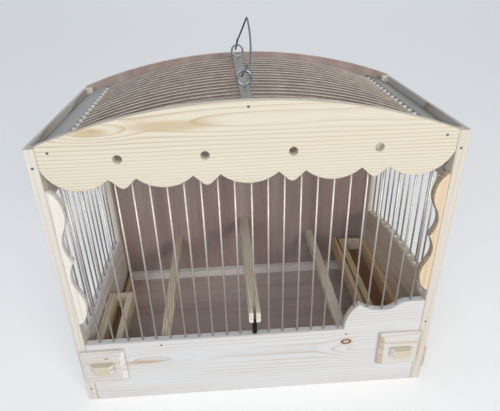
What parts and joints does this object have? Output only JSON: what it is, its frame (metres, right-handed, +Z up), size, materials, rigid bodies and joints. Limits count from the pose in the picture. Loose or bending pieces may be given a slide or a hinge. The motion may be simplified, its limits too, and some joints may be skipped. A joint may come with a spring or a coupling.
{
  "type": "canary breeding cage",
  "caption": "Wooden canary cage with an arched wire roof, scalloped front, seed drawers, a sand tray that slides out sideways, perches and a wire carrying handle.",
  "frame": {"origin": "on the ground, at the middle of the underside of the fixed base board", "axes": "+X to the right seen from the front, -Y out of the scalloped front, +Z up"},
  "size_m": [0.3941, 0.2361, 0.3867],
  "materials": {
    "pine": "planed, unvarnished",
    "pale_pine": "planed, unvarnished",
    "plywood": "raw",
    "zinc": "zinc plated",
    "rubber": "matt"
  },
  "bodies": {
    "frame": {"front_header": "pine", "front_bottom_board": "pale_pine", "front_stile_left": "pine", "front_stile_right": "pine", "rear_stile_left": "pine", "rear_stile_right": "pine", "bracket_left": "pine", "bracket_right": "pine", "side_rail_left": "pine", "side_rail_right": "pine", "side_board_left": "pale_pine", "side_board_right": "pale_pine", "roof_slat_left": "pine", "roof_slat_right": "pine", "ridge_bar": "pine", "back_panel": "plywood", "base_board": "plywood", "drawer_shelf_left": "plywood", "drawer_guide_right": "pine", "drawer_runner_right": "pine", "lower_perch_left": "pine", "lower_perch_right": "pine", "centre_perch": "pine", "perch_sleeve": "rubber", "eye_screw_front": "zinc", "eye_screw_rear": "zinc"},
    "left_drawer": {"left_drawer_front": "pale_pine", "left_drawer_knob": "pine", "left_drawer_bottom": "plywood", "left_drawer_side_left": "pine", "left_drawer_side_right": "pine", "left_drawer_back": "pine"},
    "right_drawer": {"right_drawer_front": "pale_pine", "right_drawer_knob": "pine", "right_drawer_bottom": "plywood", "right_drawer_side_left": "pine", "right_drawer_side_right": "pine", "right_drawer_back": "pine"},
    "tray": {"tray_bottom": "plywood", "tray_rim_front": "pine", "tray_rim_back": "pine", "tray_rim_left": "pine", "tray_front": "pale_pine", "tray_knob": "pine"},
    "bail": {"bail_handle": "zinc"}
  },
  "joints": [
    {"name": "left_drawer_slide", "type": "slide", "parent": "frame", "child": "left_drawer", "axis": [0, -1, 0], "range_m": [0, 0.09]},
    {"name": "right_drawer_slide", "type": "slide", "parent": "frame", "child": "right_drawer", "axis": [0, -1, 0], "range_m": [0, 0.19]},
    {"name": "tray_slide", "type": "slide", "parent": "frame", "child": "tray", "axis": [1, 0, 0], "range_m": [0, 0.33]},
    {"name": "bail_hinge", "type": "hinge", "parent": "frame", "child": "bail", "pos_m": [-0.0038, 0.003, 0.345], "axis": [0, 1, 0], "range_deg": [-119, 93]}
  ]
}
